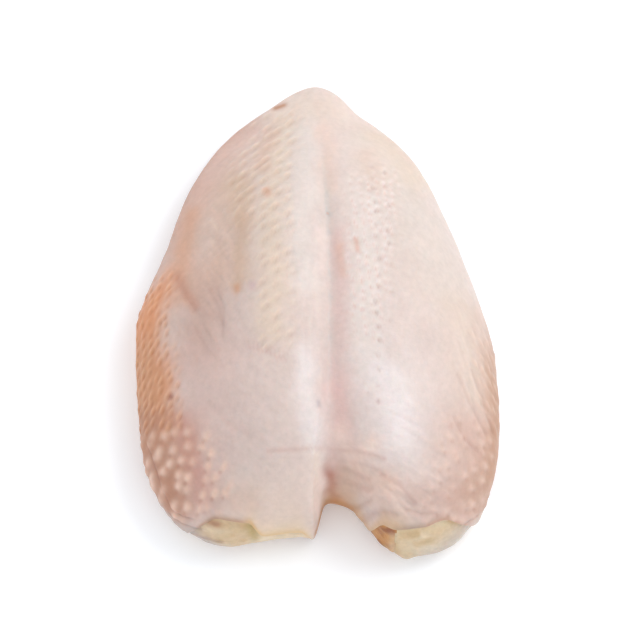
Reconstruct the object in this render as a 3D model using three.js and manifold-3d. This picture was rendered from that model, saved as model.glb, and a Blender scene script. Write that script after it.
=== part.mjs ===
// A raw chicken breast: both halves in one piece with the skin on, lying skin side up.
// Millimetres, +Z up, +Y towards the pointed tail end, +X to the right as seen from above.
// The origin is the middle of the footprint, on the surface that the meat rests on.
//
// One surface carries the whole form. It starts at the crown, runs out and down to the rim
// all round, turns under and ends on the table. A place on it is (around, down): around goes
// from 0 at the tail tip, over the left flank to 0.5 in the neck notch, and back to 1 over
// the right flank. Down goes from 0 at the crown to 1 on the table. The skin, the flesh under
// it and the fat at the neck end are layers laid off from that surface along its normals.
import * as THREE from "three";
import { mergeVertices } from "three/addons/utils/BufferGeometryUtils.js";
import Module from "manifold-3d";

// Outline seen from above: two half superellipses back to back
const halfWidth = 73.6; // from the middle to a flank
const widestY = -25; // where the breast is widest
const tipReach = 126.7; // from there to the tail tip
const neckReach = 66.9; // from there to the neck end
const tipPower = 1.59; // under 2 gives the pointed tail end
const neckPower = 3.9; // over 2 the broad, blunt neck end
const sway = { size: 2.7, turnY: -22, span: 35, shift: -0.7 }; // the midline isn't quite straight
const tipLean = { size: 2.2, y: [86, 102] }; // the last of the tip leans back to the right
const tipPinch = { share: 0.15, y: 97, spread: 7 };
const leftBulge = { size: 1.3, y: -1, spread: 9 }; // where the wing was cut away
const leftHollow = { size: 1.9, y: 35, spread: 16 };
const cornerRounding = 2;
const squaring = { y: [-49, -79], least: 26, blur: 7 }; // see rimRing

// Neck end: a notch between the two halves, each of which hangs down
const notch = { depth: 16.5, leftWall: [-3.3, 3.8], rightSlope: [9.4, 32], bearing: 274 };
const leftDrop = { size: 7, x: -42.6, spread: 23.3 };
const rightDrop = { size: 10.7, x: 48, spread: 31.4 };
const neckEnd = [-57, -87]; // its shape grows in from the first y to the second

// Heights
const crown = { x: 4, y: -17, height: 62 };
const tailFall = { share: 0.74, run: 120, power: 1.8 }; // from the crown towards the tail
const neckFall = { share: 0.24, run: 80, power: 2 };
const sideFall = 0.36; // and from the middle to a flank
const halfCrest = { height: 3.5, left: -24, leftSpread: 17, right: 30, rightSpread: 19 };
const roundOff = { power: 4.5, fullness: 0.55 }; // how the dome rounds off at the rim
const rimHeight = { flank: 15, tipDrop: 8, neckDrop: 4 };
const tuck = 14; // how far the flesh turns under, inwards from the rim
const rimAt = 0.82; // the rim's place on the way down

// The furrow over the keel bone, which opens into a dip above the notch
const furrow = { depth: 3.8, neckDepth: 2.2, width: 3.6, neckWidth: 2.4, steep: 0.75, gentle: 1.7 };
const furrowX = { tip: 1.4, middle: 5, notch: 6.5 };
const dip = { share: 0.42, x: 7, y: -83, across: 13, along: 15 };

// The shallow valley that crosses the left half, from the tail to the flank
const valley = { depth: 1.3, spread: 7, topY: 57, x: -18, slope: 0.16, bend: 0.0025 };

// Layers
const skinThick = 1.4;
const gap = 0.7; // between skin and flesh
const tuckedAt = 0.936; // how far down the skin's edge lies, turned under
const bareFrom = 0.968; // from here down the flesh comes out to the carrying surface

// Where the neck end's skin is cut back: x where that starts, is full, is full and ends, and
// the height of the cut edge
const openings = [
  { x: [-51, -44, -31, -19], top: 28 },
  { x: [-31, -23, -5, 1], top: 17 },
  { x: [16, 27, 48, 61], top: 28 },
];
const openingY = [-111, -81];

// Fat pads and the scrap of dark tissue that fill the openings: x range, how far they stand
// beyond the carrying surface, and how far down they reach. They lie in a bed in the flesh
// and run up under the skin's edge.
const pads = [
  { name: "fat_left", x: [-46, -5], stand: 0.3, reach: 0.925 },
  { name: "fat_right", x: [32, 57], stand: 1.5, reach: 0.93 },
  { name: "dark_tissue", x: [22, 30.5], stand: 0.8, reach: 0.92 },
];
const padBed = { depth: 2.4, top: 35, left: [-54, -48, -2.5, 2], right: [16, 20.5, 58.5, 64] };
const padTopAt = 0.6;
const padGap = { skin: 0.4, flesh: 1 };

// Underside: the seams between the muscles are shallow channels in a flat bed
const midSeam = { depth: 3, spread: 5, from: -63, to: 65 };
const filletSeam = { depth: 1.8, spread: 3.5, tailX: 7, neckX: 30, from: -67, to: 51 };

// Mesh sizes: cells across and along, and rings of flesh from the skin's edge to the table
const bodyCells = [34, 40];
const edgeRings = 2;
const padCells = [14, 7];
const rimSamples = 720;

const colours = { skin: 0xe9d2c6, flesh: 0xdfa79c, fat: 0xe3c48c, dark: 0x8a3b1d };

const clamp01 = (v) => Math.min(1, Math.max(0, v));
const mix = (a, b, k) => a + (b - a) * k;
const bell = (v, at, spread) => Math.exp(-(((v - at) / spread) ** 2));

// 0 at a, 1 at b, smooth in between, for a below or above b
function ease(a, b, v) {
  const k = clamp01((v - a) / (b - a));
  return k * k * (3 - 2 * k);
}

// 0 outside the four places, 1 between the middle two
function plateau([a, b, c, d], v) {
  return ease(a, b, v) * (1 - ease(c, d, v));
}

// The plan outline at a bearing in radians, counterclockwise from +X about the widest place:
// two half superellipses, pushed aside by the midline's sway and shaped at the neck end.
function outlineAt(bearing) {
  const c = Math.cos(bearing);
  const s = Math.sin(bearing);
  const reach = s > 0 ? tipReach : neckReach;
  const power = s > 0 ? tipPower : neckPower;
  const r = (Math.abs(c / halfWidth) ** power + Math.abs(s / reach) ** power) ** (-1 / power);
  let x = r * c;
  let y = widestY + r * s;
  if (x < 0) {
    x -= leftBulge.size * bell(y, leftBulge.y, leftBulge.spread);
    x += leftHollow.size * bell(y, leftHollow.y, leftHollow.spread);
  }
  x *= 1 - tipPinch.share * bell(y, tipPinch.y, tipPinch.spread);
  x += sway.shift - sway.size * Math.tanh((y - sway.turnY) / sway.span);
  x += tipLean.size * ease(...tipLean.y, y);
  const inNotch = notch.depth * ease(...notch.leftWall, x) * (1 - ease(...notch.rightSlope, x));
  const hang = leftDrop.size * bell(x, leftDrop.x, leftDrop.spread) +
    rightDrop.size * bell(x, rightDrop.x, rightDrop.spread);
  y += (inNotch - hang) * ease(...neckEnd, y);
  return new THREE.Vector2(x, y);
}

// One side of the outline as a curve, so that points can be taken at even lengths along it
class OutlineSide extends THREE.Curve {
  constructor(fromDegrees, toDegrees) {
    super();
    this.from = THREE.MathUtils.degToRad(fromDegrees);
    this.to = THREE.MathUtils.degToRad(toDegrees);
    this.arcLengthDivisions = 1500;
  }
  getPoint(share) {
    return outlineAt(mix(this.from, this.to, share));
  }
}

// A ring of vectors, each replaced by the mean of its neighbours under a bell
function blurred(ring, spread) {
  const reach = Math.ceil(3 * spread);
  return ring.map((_, i) => {
    const sum = new THREE.Vector2();
    let weights = 0;
    for (let k = -reach; k <= reach; k++) {
      const weight = bell(k, 0, spread);
      sum.addScaledVector(ring[(i + k + ring.length) % ring.length], weight);
      weights += weight;
    }
    return sum.divideScalar(weights);
  });
}

// The rim, as even samples all round. Each has its point and a bend: what has to be added to
// a straight line from the crown for it to arrive square to the outline, at the neck end.
function rimRing() {
  const half = rimSamples / 2;
  const sides = [new OutlineSide(90, notch.bearing), new OutlineSide(notch.bearing, 450)];
  const raw = sides.flatMap((side) => side.getSpacedPoints(half).slice(0, half));
  const step = (sides[0].getLength() + sides[1].getLength()) / rimSamples;
  const points = blurred(raw, cornerRounding / step);
  const bends = points.map((p, i) => {
    const before = points[(i + rimSamples - 1) % rimSamples];
    const along = points[(i + 1) % rimSamples].clone().sub(before).normalize();
    const outward = new THREE.Vector2(along.y, -along.x);
    const ray = new THREE.Vector2(p.x - crown.x, p.y - crown.y);
    const square = outward.multiplyScalar(Math.max(ray.dot(outward), squaring.least));
    return ray.sub(square).multiplyScalar(ease(...squaring.y, p.y));
  });
  return { points, bends: blurred(bends, squaring.blur / step) };
}
const rim = rimRing();

function rimAround(around) {
  const at = (around % 1) * rimSamples;
  const [i, j] = [Math.floor(at) % rimSamples, (Math.floor(at) + 1) % rimSamples];
  return {
    point: rim.points[i].clone().lerp(rim.points[j], at % 1),
    bend: rim.bends[i].clone().lerp(rim.bends[j], at % 1),
  };
}

// The furrow's own line
function furrowLine(y) {
  return mix(furrowX.tip, furrowX.middle, ease(96, 1, y)) +
    (furrowX.notch - furrowX.middle) * ease(-52, -77, y);
}

// A V with a soft bottom, steep on its left side and gentle on its right
function furrowDepth(x, y) {
  const away = x - furrowLine(y);
  const side = away > 0 ? mix(1, furrow.gentle, ease(41, -39, y)) : furrow.steep;
  const width = (furrow.width + furrow.neckWidth * ease(81, 1, y)) * side;
  const depth = furrow.depth * ease(99, 21, y) + furrow.neckDepth * ease(1, -59, y);
  return depth * Math.exp(0.2 - Math.hypot(away / width, 0.2));
}

// The left half's valley: a bell across a line that bends outwards
function valleyDepth(x, y) {
  const k = valley.topY - y;
  const line = valley.x - valley.slope * k - valley.bend * k * k;
  const away = (x - line) / Math.hypot(1, valley.slope + 2 * valley.bend * k);
  return valley.depth * bell(away, 0, valley.spread) * plateau([-47, -21, 36, 63], y);
}

// Height of the form before it rounds off at the rim: a dome with a crest on each half
function domeHeight(x, y) {
  const toTail = clamp01((y - crown.y) / tailFall.run);
  const toNeck = clamp01((crown.y - y) / neckFall.run);
  const along = 1 - tailFall.share * toTail ** tailFall.power - neckFall.share * toNeck ** neckFall.power;
  const toTip = Math.min(0.97, Math.max(0, (y - widestY) / tipReach));
  const half = halfWidth * (1 - toTip ** tipPower) ** (1 / tipPower);
  const away = x - furrowLine(y);
  const crests = bell(away, halfCrest.left, halfCrest.leftSpread) +
    bell(away, halfCrest.right, halfCrest.rightSpread);
  return crown.height * along * (1 - sideFall * (away / half) ** 2) +
    halfCrest.height * crests * plateau([-94, -59, 41, 86], y);
}

// A point of the carrying surface
function surfaceAt(around, down) {
  const { point, bend } = rimAround(around);
  const base = rimHeight.flank - rimHeight.tipDrop * ease(58, 103, point.y) -
    rimHeight.neckDrop * ease(-69, -89, point.y);
  const ray = new THREE.Vector2(point.x - crown.x, point.y - crown.y);
  if (down > rimAt) {
    const turn = ((down - rimAt) / (1 - rimAt)) * (Math.PI / 2);
    const inward = ray.sub(bend).setLength(tuck * (1 - Math.cos(turn)));
    return new THREE.Vector3(point.x - inward.x, point.y - inward.y, base * (1 - Math.sin(turn)));
  }
  const out = Math.sin((down / rimAt) * (Math.PI / 2));
  const x = crown.x + ray.x * out + bend.x * out ** 3 * (1 - out);
  const y = crown.y + ray.y * out + bend.y * out ** 3 * (1 - out);
  const height = domeHeight(x, y) - valleyDepth(x, y) - furrowDepth(x, y) - base;
  const rounding = Math.max(0, 1 - out ** roundOff.power) ** roundOff.fullness;
  const dipped = dip.share * Math.exp(-(((x - dip.x) / dip.across) ** 2) - ((y - dip.y) / dip.along) ** 2);
  return new THREE.Vector3(x, y, base + height * rounding * (1 - dipped));
}

// Height of the skin's cut edge over the table at the neck end, 0 where it isn't cut back
function openingTop(x) {
  return Math.max(...openings.map((opening) => opening.top * plateau(opening.x, x)));
}

// Depth of the flesh under a point of the carrying surface: the layers above it, and the pads'
// bed at the neck end
function fleshDepth({ x, y, z }, down) {
  const across = y > neckEnd[0] ? 0 : Math.max(plateau(padBed.left, x), plateau(padBed.right, x));
  const bed = padBed.depth * across * (1 - ease(padBed.top, padBed.top + 3, z));
  return (skinThick + gap + bed) * (1 - ease(bareFrom, 1, down));
}

// A grid over the square from -1 to 1 both ways, as places made by a function of a and b
function gridOf([across, along], make) {
  const places = [];
  for (let j = 0; j <= along; j++)
    for (let i = 0; i <= across; i++) places.push(make((2 * i) / across - 1, (2 * j) / along - 1));
  return places;
}

// The triangles of such a grid, counterclockwise from above. Each quarter of the grid has its
// own diagonal, so that no corner cell is cut into a flat sliver.
function gridFaces([across, along], flip = false) {
  const faces = [];
  for (let j = 0; j < along; j++)
    for (let i = 0; i < across; i++) {
      const a = j * (across + 1) + i;
      const [b, c, d] = [a + 1, a + across + 2, a + across + 1];
      const outwards = i < across / 2 === j < along / 2;
      const pair = outwards ? [[a, b, c], [a, c, d]] : [[a, b, d], [b, c, d]];
      for (const [u, v, w] of pair) faces.push(...(flip ? [u, w, v] : [u, v, w]));
    }
  return faces;
}

// The grid's border as vertex numbers, counterclockwise from above
function gridBorder([across, along]) {
  const at = (i, j) => j * (across + 1) + i;
  const border = [];
  for (let i = 0; i < across; i++) border.push(at(i, 0));
  for (let j = 0; j < along; j++) border.push(at(across, j));
  for (let i = across; i > 0; i--) border.push(at(i, along));
  for (let j = along; j > 0; j--) border.push(at(0, j));
  return border;
}

// The square laid on a disc: (around, out from the middle)
function discPlace(a, b) {
  const x = a * Math.sqrt(1 - (b * b) / 2);
  const y = b * Math.sqrt(1 - (a * a) / 2);
  const around = Math.atan2(-x, y) / (2 * Math.PI);
  return { around: (around + 1) % 1, out: Math.min(1, Math.hypot(x, y)) };
}

function geometryOf(points, faces) {
  const geometry = new THREE.BufferGeometry().setFromPoints(points);
  geometry.setIndex(faces);
  return geometry;
}

function normalsOf(points, faces) {
  const geometry = geometryOf(points, faces);
  geometry.computeVertexNormals();
  const normals = geometry.getAttribute("normal");
  return points.map((_, i) => new THREE.Vector3().fromBufferAttribute(normals, i));
}

// The points moved along the normals, each by its own distance
function laidOff(points, normals, distances) {
  return points.map((p, i) => p.clone().addScaledVector(normals[i], distances[i]));
}

// Two grids, one over the other, closed round their border
function shellGeometry(upper, lower, cells) {
  const count = upper.length;
  const faces = [...gridFaces(cells), ...gridFaces(cells, true).map((i) => i + count)];
  const border = gridBorder(cells);
  border.forEach((p, i) => {
    const q = border[(i + 1) % border.length];
    faces.push(p, p + count, q, q, p + count, q + count);
  });
  return geometryOf([...upper, ...lower], faces);
}

// The carrying surface as a mesh: a grid over the part that the skin covers, then rings from
// the skin's tucked edge to the table
function carryingSurface() {
  const border = gridBorder(bodyCells);
  const places = gridOf(bodyCells, discPlace).map(({ around, out }) => (
    { around, out, down: tuckedAt * out }
  ));
  const covered = places.length;
  for (let ring = 1; ring <= edgeRings; ring++)
    for (const i of border)
      places.push({ around: places[i].around, out: 1, down: mix(tuckedAt, 1, ring / edgeRings) });
  const ringVertex = (ring, k) => {
    const turn = k % border.length;
    return ring ? covered + (ring - 1) * border.length + turn : border[turn];
  };
  const faces = gridFaces(bodyCells);
  for (let ring = 0; ring < edgeRings; ring++)
    border.forEach((_, k) => {
      const [a, b] = [ringVertex(ring, k), ringVertex(ring, k + 1)];
      const [c, d] = [ringVertex(ring + 1, k), ringVertex(ring + 1, k + 1)];
      faces.push(a, c, b, b, c, d);
    });
  const points = places.map(({ around, down }) => surfaceAt(around, down));
  const onTable = new Map(border.map((i, k) => [i, ringVertex(edgeRings, k)]));
  return { places, covered, faces, points, normals: normalsOf(points, faces), onTable };
}
const surface = carryingSurface();

const manifold = await Module();
manifold.setup();

function solidOf(geometry) {
  return new manifold.Manifold(new manifold.Mesh({
    numProp: 3,
    vertProperties: geometry.getAttribute("position").array,
    triVerts: new Uint32Array(geometry.index.array),
  }));
}

function geometryOfSolid(solid) {
  const mesh = solid.getMesh();
  const geometry = new THREE.BufferGeometry();
  geometry.setAttribute("position", new THREE.BufferAttribute(mesh.vertProperties, 3));
  geometry.setIndex(new THREE.BufferAttribute(mesh.triVerts, 1));
  return geometry;
}

// What is cut out of the skin at the neck end: the area under the cut edge's line, as a prism
function openingsSolid() {
  const [from, to] = [openings[0].x[0], openings.at(-1).x[3]];
  const shape = new THREE.Shape();
  shape.moveTo(from - 1, -1);
  for (let x = from; x <= to; x += 1.5) shape.lineTo(x, openingTop(x));
  shape.lineTo(to + 1, -1);
  const prism = new THREE.ExtrudeGeometry(shape, { depth: openingY[1] - openingY[0], bevelEnabled: false });
  prism.rotateX(Math.PI / 2).translate(0, openingY[1], 0);
  prism.deleteAttribute("normal").deleteAttribute("uv");
  return solidOf(mergeVertices(prism));
}

// The skin: a thin shell over the top and flanks, its edge turned under at the flanks and
// cut back at the neck end
function skinGeometry() {
  const points = surface.points.slice(0, surface.covered);
  const inner = laidOff(points, surface.normals, points.map(() => -skinThick));
  return geometryOfSolid(solidOf(shellGeometry(points, inner, bodyCells)).subtract(openingsSolid()));
}

// Height of the flesh's underside: a flat bed with a channel at each seam
function undersideHeight(x, y) {
  const away = Math.abs(x - furrowLine(y));
  const middle = midSeam.depth * bell(away, 0, midSeam.spread) *
    plateau([midSeam.from - 12, midSeam.from, midSeam.to, midSeam.to + 12], y);
  const line = mix(filletSeam.tailX, filletSeam.neckX, ease(filletSeam.to, filletSeam.from, y));
  const side = filletSeam.depth * bell(away, line, filletSeam.spread) *
    plateau([filletSeam.from - 8, filletSeam.from + 8, filletSeam.to - 14, filletSeam.to], y);
  return Math.max(middle, side);
}

// The flesh: the whole body under the skin, closed by its flat underside
function fleshGeometry() {
  const { places, covered, onTable } = surface;
  const depths = places.map(({ down }, i) => -fleshDepth(surface.points[i], down));
  const points = laidOff(surface.points, surface.normals, depths);
  onTable.forEach((vertex) => {
    points[vertex].z = 0;
  });
  const underside = places.slice(0, covered).map(({ around, out }, i) => {
    if (onTable.has(i)) return onTable.get(i);
    const edge = surfaceAt(around, 1);
    const [x, y] = [mix(crown.x, edge.x, out), mix(crown.y, edge.y, out)];
    return points.push(new THREE.Vector3(x, y, undersideHeight(x, y))) - 1;
  });
  return geometryOf(points, [...surface.faces, ...gridFaces(bodyCells, true).map((i) => underside[i])]);
}

// Share of the way around where the neck end's outline reaches a given x, by halving
function aroundAtX(x) {
  let [low, high] = x < notch.leftWall[1] ? [0.35, 0.5] : [0.5, 0.68];
  for (let i = 0; i < 30; i++) {
    const middle = (low + high) / 2;
    if (rimAround(middle).point.x < x) low = middle;
    else high = middle;
  }
  return low;
}

// A pad: flat where it runs up under the skin's edge, swelling out below it and thin again
// towards the table and at its ends
function padGeometry({ x: [fromX, toX], stand, reach }) {
  const [from, to] = [aroundAtX(fromX), aroundAtX(toX)];
  const places = gridOf(padCells, (a, b) => (
    { a, around: mix(from, to, (a + 1) / 2), down: mix(padTopAt, reach, (1 - b) / 2) }
  ));
  const base = places.map(({ around, down }) => surfaceAt(around, down));
  const normals = normalsOf(base, gridFaces(padCells));
  const under = -(skinThick + padGap.skin);
  const outer = laidOff(base, normals, base.map(({ x, z }, i) => {
    const ends = Math.cos((places[i].a * Math.PI) / 2) ** 0.4;
    const top = openingTop(x);
    return mix(under, stand, ends * plateau([2, 6, top - 7, top - 2.5], z));
  }));
  const bed = padGap.flesh - skinThick - gap - padBed.depth;
  return shellGeometry(outer, laidOff(base, normals, base.map(() => bed)), padCells);
}

function meshOf(name, geometry, colour, roughness) {
  const material = new THREE.MeshStandardMaterial({ color: colour, roughness, metalness: 0 });
  const mesh = new THREE.Mesh(geometry, material);
  mesh.name = name;
  return mesh;
}

const breast = new THREE.Group();
breast.add(meshOf("skin", skinGeometry(), colours.skin, 0.4));
breast.add(meshOf("flesh", fleshGeometry(), colours.flesh, 0.45));
for (const pad of pads) {
  const colour = pad.name === "dark_tissue" ? colours.dark : colours.fat;
  breast.add(meshOf(pad.name, padGeometry(pad), colour, 0.4));
}

export default breast;
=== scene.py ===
import bpy
import numpy as np
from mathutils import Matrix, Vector


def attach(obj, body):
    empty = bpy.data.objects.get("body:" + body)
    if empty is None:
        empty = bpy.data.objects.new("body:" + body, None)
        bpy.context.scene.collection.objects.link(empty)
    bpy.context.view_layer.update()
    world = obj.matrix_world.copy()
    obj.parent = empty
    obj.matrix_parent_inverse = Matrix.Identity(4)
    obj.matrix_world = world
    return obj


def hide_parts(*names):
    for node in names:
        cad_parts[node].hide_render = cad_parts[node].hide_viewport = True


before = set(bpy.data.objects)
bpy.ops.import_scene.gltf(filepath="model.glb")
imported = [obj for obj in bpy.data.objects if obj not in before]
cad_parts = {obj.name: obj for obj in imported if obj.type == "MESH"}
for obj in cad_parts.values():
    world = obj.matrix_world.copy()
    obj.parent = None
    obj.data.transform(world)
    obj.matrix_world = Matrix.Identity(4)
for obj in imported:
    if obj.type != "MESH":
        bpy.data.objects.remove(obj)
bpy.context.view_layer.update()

# A raw chicken breast, both halves in one piece with the skin on, lying skin side up.
# Shapes are worked out in millimetres, in the frame of the solids: +Z up, +Y towards the
# pointed tail end, +X to the right as seen from above.
mm = 0.001


# Small helpers

def mix(a, b, k):
    # a share k of the way from a to b
    return a + (b - a) * k


def bell(v, at, spread):
    # 1 at its middle, and 1/e at one spread from it
    return np.exp(-(((v - at) / spread) ** 2))


def ease(a, b, v):
    # 0 at a, 1 at b, smooth in between, for a below or above b
    k = np.clip((v - a) / (b - a), 0, 1)
    return k * k * (3 - 2 * k)


def plateau(places, v):
    # 0 outside the four places, 1 between the middle two
    a, b, c, d = places
    return ease(a, b, v) * (1 - ease(c, d, v))


def lengthOf(vectors):
    return np.linalg.norm(vectors, axis=-1)


def unitOf(vectors):
    # the same directions with length 1
    return vectors / lengthOf(vectors)[..., None]


def turned(x, y, degrees):
    # the same places in axes that are turned counterclockwise by that much
    turn = np.radians(degrees)
    return x * np.cos(turn) + y * np.sin(turn), y * np.cos(turn) - x * np.sin(turn)


def linearColour(hexCode):
    # sRGB hex to linear red, green and blue, by the standard's own curve
    s = np.array([int(hexCode[i:i + 2], 16) for i in (0, 2, 4)]) / 255
    return np.where(s <= 0.04045, s / 12.92, ((s + 0.055) / 1.055) ** 2.4)


def softNoise(points, size, seed, cells=32, shift=100):
    # value noise in 3-D, -1 to 1: random values at the corners of cubes of that size, eased
    # between. The shift only says which of the table's cells lie at the origin.
    table = np.random.default_rng(seed).uniform(-1, 1, (cells, cells, cells))
    at = points / size + shift
    cell = np.floor(at).astype(int)
    k = at - cell
    k = k * k * (3 - 2 * k)
    total = 0
    for corner in np.ndindex(2, 2, 2):
        weight = np.prod(np.where(corner, k, 1 - k), axis=-1)
        i, j, l = np.moveaxis((cell + corner) % cells, -1, 0)
        total = total + table[i, j, l] * weight
    return total


def layeredNoise(points, layers, seed):
    # a sum of soft noises, one for each (size, height)
    return sum(height * softNoise(points, size, seed + k) for k, (size, height) in enumerate(layers))


# the first seed of each thing that is drawn at random
seeds = dict(cutEdge=3, swell=7, tracts=20, drift=31, patches=33, streaks=35, meat=51, meatLumps=52,
             underside=53, undersideLumps=54, paleMeat=55, deepMeat=56)


# The form. Its values are the solids' own, but for small ones that bring it closer to the real
# outline. One surface carries all of it: it starts at the crown, runs out and down to the rim all
# round, turns under and ends on the table. A place on it is (around, down): around goes from 0 at
# the tail tip, over the left flank to 0.5 in the neck notch, and back to 1 over the right flank.
# Down goes from 0 at the crown to 1 on the table. Pairs called y are where a thing starts and is
# full, and fours where it starts, is full, is full and ends.

form = dict(
    # seen from above
    halfWidth=73.6, widestY=-25, tipReach=128.2, neckReach=66.9, tipPower=1.59, neckPower=3.9,
    sway=dict(size=2.7, turnY=-22, span=35, shift=-0.7), tipLean=dict(size=2.2, y=(86, 102)),
    tipPinch=dict(share=0.16, y=94, spread=9),
    leftBulge=dict(size=1.3, y=-1, spread=9), leftHollow=dict(size=2.7, y=29, spread=18),
    rightSwell=((1.0, 62, 14), (1.0, -15, 22)),   # size, y and spread of each
    notch=dict(depth=15.3, leftWall=(-1.4, 3.8), rightSlope=(9.4, 32), bearing=274),
    leftDrop=dict(size=7, x=-42.6, spread=23.3), rightDrop=dict(size=10.7, x=48, spread=31.4),
    neckEnd=(-57, -87),                           # where the neck end's shape grows in
    cornerRounding=2, squaring=dict(y=(-49, -79), least=26, blur=7),
    outlineSteps=4000, rimSamples=1440,
    # heights
    crown=dict(x=4, y=-17, height=62),
    tailFall=dict(share=0.74, run=120, power=1.8), neckFall=dict(share=0.24, run=80, power=2),
    sideFall=0.36, tipShare=0.97,                 # a flank's fall, worked out no nearer to the tip
    halfCrest=dict(height=3.5, left=-24, leftSpread=17, right=30, rightSpread=19,
                   y=(-94, -59, 41, 86)),
    roundOff=dict(power=4.5, fullness=0.55),
    rimHeight=dict(flank=15, tipDrop=8, tipY=(58, 103), neckDrop=4, neckY=(-69, -89)),
    rimAt=0.82, tuck=14,                          # how far it turns under, inwards from the rim
    cornerTuck=dict(share=0.62, x=-2, spread=9, y=(-66, -82)),   # less at the notch's sharp corner
    # the furrow over the keel bone, which opens into a dip above the notch
    furrow=dict(depth=3.8, depthY=(99, 21), neckDepth=2.2, neckDepthY=(1, -59),
                width=3.6, neckWidth=2.4, neckWidthY=(81, 1),
                steep=0.75, gentle=1.7, gentleY=(41, -39), softness=0.2),
    furrowX=dict(tip=1.4, middle=5, middleY=(96, 1), notch=6.5, notchY=(-52, -77)),
    furrowSlack=dict(depth=2.2, spread=5, y=(-42, -58)),
    dip=dict(share=0.42, x=7, y=-83, across=13, leftAcross=11, along=15),
    # the shallow valley that crosses the left half, from the tail to the flank
    valley=dict(depth=1.3, spread=7, topY=57, x=-18, slope=0.16, bend=0.0025, y=(-47, -21, 36, 63)),
)


crownPlan = form["crown"]["x"], form["crown"]["y"]


def outlineAt(bearing):
    # plan outline at a bearing about the widest place: two half superellipses, pushed aside by
    # the midline's sway, pinched at the tip and cut by the notch at the neck end
    f = form
    c, s = np.cos(bearing), np.sin(bearing)
    reach = np.where(s > 0, f["tipReach"], f["neckReach"])
    power = np.where(s > 0, f["tipPower"], f["neckPower"])
    r = (np.abs(c / f["halfWidth"]) ** power + np.abs(s / reach) ** power) ** (-1 / power)
    x, y = r * c, f["widestY"] + r * s
    bulge, hollow, pinch = f["leftBulge"], f["leftHollow"], f["tipPinch"]
    x = x + (x < 0) * (hollow["size"] * bell(y, hollow["y"], hollow["spread"])
                       - bulge["size"] * bell(y, bulge["y"], bulge["spread"]))
    x = x + (x > 0) * sum(size * bell(y, at, spread) for size, at, spread in f["rightSwell"])
    x = x * (1 - pinch["share"] * bell(y, pinch["y"], pinch["spread"]))
    sway, lean = f["sway"], f["tipLean"]
    x = x + sway["shift"] - sway["size"] * np.tanh((y - sway["turnY"]) / sway["span"])
    x = x + lean["size"] * ease(*lean["y"], y)
    notch, left, right = f["notch"], f["leftDrop"], f["rightDrop"]
    cut = notch["depth"] * ease(*notch["leftWall"], x) * (1 - ease(*notch["rightSlope"], x))
    hang = (left["size"] * bell(x, left["x"], left["spread"])
            + right["size"] * bell(x, right["x"], right["spread"]))
    return x, y + (cut - hang) * ease(*f["neckEnd"], y)


def ringBlur(ring, spread):
    # mean of each value and its neighbours round a closed ring, under a bell
    k = np.arange(-int(3 * spread), int(3 * spread) + 1)
    weights = bell(k, 0, spread)
    return sum(w * np.roll(ring, -i, axis=0) for i, w in zip(k, weights)) / weights.sum()


def rimTable():
    # the rim as even samples: x, y, and the bend that lets a line from the crown arrive square
    f, half = form, form["rimSamples"] // 2
    tail, notch = 90, f["notch"]["bearing"]
    sides = []
    for start, end in ((tail, notch), (notch, tail + 360)):
        x, y = outlineAt(np.radians(np.linspace(start, end, f["outlineSteps"])))
        run = np.concatenate([[0], np.cumsum(np.hypot(np.diff(x), np.diff(y)))])
        even = np.linspace(0, run[-1], half + 1)[:-1]
        sides.append(np.stack([np.interp(even, run, x), np.interp(even, run, y)], -1))
    points = np.concatenate(sides)
    step = lengthOf(np.diff(points, axis=0)).mean()
    points = ringBlur(points, f["cornerRounding"] / step)
    along = unitOf(np.roll(points, -1, axis=0) - np.roll(points, 1, axis=0))
    outward = np.stack([along[:, 1], -along[:, 0]], -1)
    ray = points - crownPlan
    reach = np.maximum((ray * outward).sum(-1, keepdims=True), f["squaring"]["least"])
    bend = (ray - outward * reach) * ease(*f["squaring"]["y"], points[:, 1:])
    return np.concatenate([points, ringBlur(bend, f["squaring"]["blur"] / step)], -1)


rim = rimTable()


def rimAround(around):
    # the rim table's values at any place around, between its samples
    at = np.mod(around, 1) * len(rim)
    low = np.floor(at).astype(int)
    k = (at - low)[..., None]
    return rim[low % len(rim)] * (1 - k) + rim[(low + 1) % len(rim)] * k


def furrowLine(y):
    # x of the furrow's bottom, eased from the tip to the middle and on to the notch
    line = form["furrowX"]
    return (mix(line["tip"], line["middle"], ease(*line["middleY"], y))
            + (line["notch"] - line["middle"]) * ease(*line["notchY"], y))


def furrowDepth(x, y):
    # a V with a soft bottom, steep on its left side and gentle on its right
    f = form["furrow"]
    away = x - furrowLine(y)
    side = np.where(away > 0, mix(1, f["gentle"], ease(*f["gentleY"], y)), f["steep"])
    width = (f["width"] + f["neckWidth"] * ease(*f["neckWidthY"], y)) * side
    depth = f["depth"] * ease(*f["depthY"], y) + f["neckDepth"] * ease(*f["neckDepthY"], y)
    return depth * np.exp(f["softness"] - np.hypot(away / width, f["softness"]))


def valleyDepth(x, y):
    # a bell across a line that bends outwards over the left half
    f = form["valley"]
    k = f["topY"] - y
    line = f["x"] - f["slope"] * k - f["bend"] * k * k
    away = (x - line) / np.hypot(1, f["slope"] + 2 * f["bend"] * k)
    return f["depth"] * bell(away, 0, f["spread"]) * plateau(f["y"], y)


def furrowSlack(x, y):
    # how much further down the hidden layers keep where the furrow is steep: a bell across it
    slack = form["furrowSlack"]
    return slack["depth"] * bell(x - furrowLine(y), 0, slack["spread"]) * ease(*slack["y"], y)


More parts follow.
